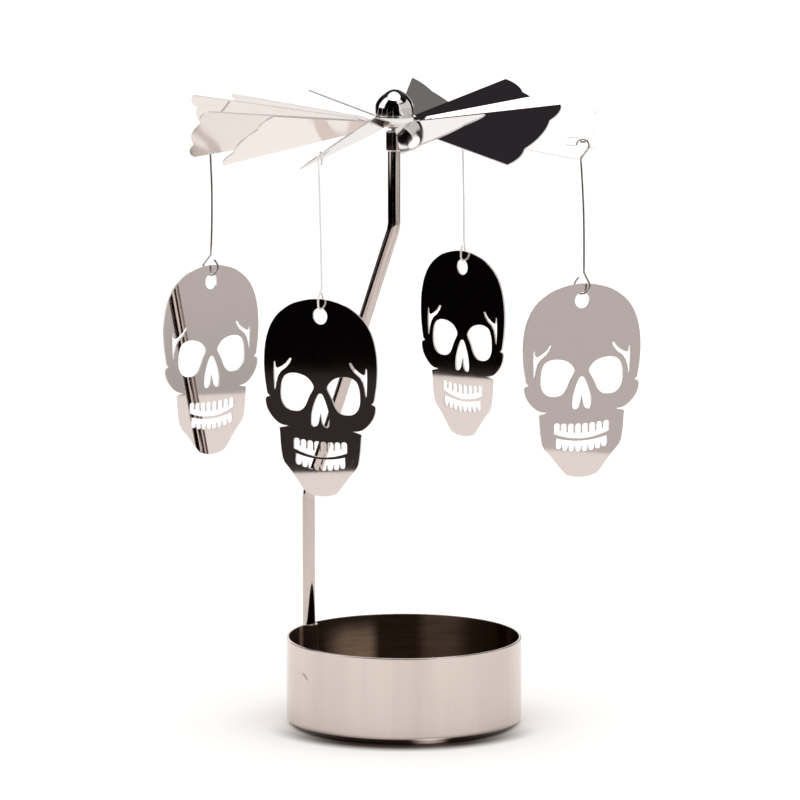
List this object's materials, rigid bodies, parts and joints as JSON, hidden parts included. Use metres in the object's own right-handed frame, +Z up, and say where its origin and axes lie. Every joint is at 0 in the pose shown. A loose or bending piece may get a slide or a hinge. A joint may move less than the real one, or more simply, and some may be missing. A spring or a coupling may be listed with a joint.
{
  "type": "candle carousel",
  "caption": "Tea-light carousel: a polished cup with a bent post, whose pitched bladed rotor carries hanging skull cut-outs and turns in the rising warm air.",
  "frame": {"origin": "middle of the cup's foot, on the table", "axes": "+Z up; -Y is the pictured front; +X is to the right seen from the front; the post's foot is at 146.8 degrees from +X and the rotor's axis is 3 mm from the cup's middle, towards the post"},
  "size_m": [0.1209, 0.115, 0.1621],
  "materials": {
    "cup_steel": "polished sheet, fine brushed grain",
    "post_steel": "polished rod",
    "needle_steel": "ground steel",
    "washer_steel": "pale satin",
    "cap_chrome": "mirror chrome",
    "blade_steel": "mirror sheet",
    "hanger_wire": "bright wire",
    "skull_steel": "mirror sheet"
  },
  "bodies": {
    "stand": {"base_cup": "cup_steel", "post_rod": "post_steel", "post_sleeve": "post_steel", "pivot_needle": "needle_steel"},
    "rotor": {"rotor_blades": "blade_steel", "hub_washer": "washer_steel", "dome_cap": "cap_chrome"},
    "hanger_right": {"hanger_right": "hanger_wire"},
    "skull_right": {"skull_right": "skull_steel"},
    "hanger_back": {"hanger_back": "hanger_wire"},
    "skull_back": {"skull_back": "skull_steel"},
    "hanger_left": {"hanger_left": "hanger_wire"},
    "skull_left": {"skull_left": "skull_steel"},
    "hanger_front": {"hanger_front": "hanger_wire"},
    "skull_front": {"skull_front": "skull_steel"}
  },
  "joints": [
    {"name": "rotor_spin", "type": "hinge", "parent": "stand", "child": "rotor", "pos_m": [-0.00251, 0.00164, 0.16], "axis": [0, 0, 1], "continuous": true},
    {"name": "hanger_right_swing", "type": "hinge", "parent": "rotor", "child": "hanger_right", "pos_m": [0.0445, -0.01629, 0.14961], "axis": [-0.2756, -0.9613, 0], "range_deg": [-12, 20]},
    {"name": "skull_right_turn", "type": "hinge", "parent": "hanger_right", "child": "skull_right", "pos_m": [0.0445, -0.01629, 0.11441], "axis": [0, 0, 1], "range_deg": [-2, 60]},
    {"name": "hanger_back_swing", "type": "hinge", "parent": "rotor", "child": "hanger_back", "pos_m": [0.01542, 0.04866, 0.14961], "axis": [0.9613, -0.2756, 0], "range_deg": [-12, 20]},
    {"name": "skull_back_turn", "type": "hinge", "parent": "hanger_back", "child": "skull_back", "pos_m": [0.01542, 0.04866, 0.11441], "axis": [0, 0, 1], "range_deg": [-19, 60]},
    {"name": "hanger_left_swing", "type": "hinge", "parent": "rotor", "child": "hanger_left", "pos_m": [-0.04952, 0.01957, 0.14961], "axis": [0.2756, 0.9613, 0], "range_deg": [-12, 20]},
    {"name": "skull_left_turn", "type": "hinge", "parent": "hanger_left", "child": "skull_left", "pos_m": [-0.04952, 0.01957, 0.11441], "axis": [0, 0, 1], "range_deg": [-22, 56]},
    {"name": "hanger_front_swing", "type": "hinge", "parent": "rotor", "child": "hanger_front", "pos_m": [-0.02044, -0.04537, 0.14961], "axis": [-0.9613, 0.2756, 0], "range_deg": [-12, 20]},
    {"name": "skull_front_turn", "type": "hinge", "parent": "hanger_front", "child": "skull_front", "pos_m": [-0.02044, -0.04537, 0.11441], "axis": [0, 0, 1], "range_deg": [-37, 60]}
  ]
}
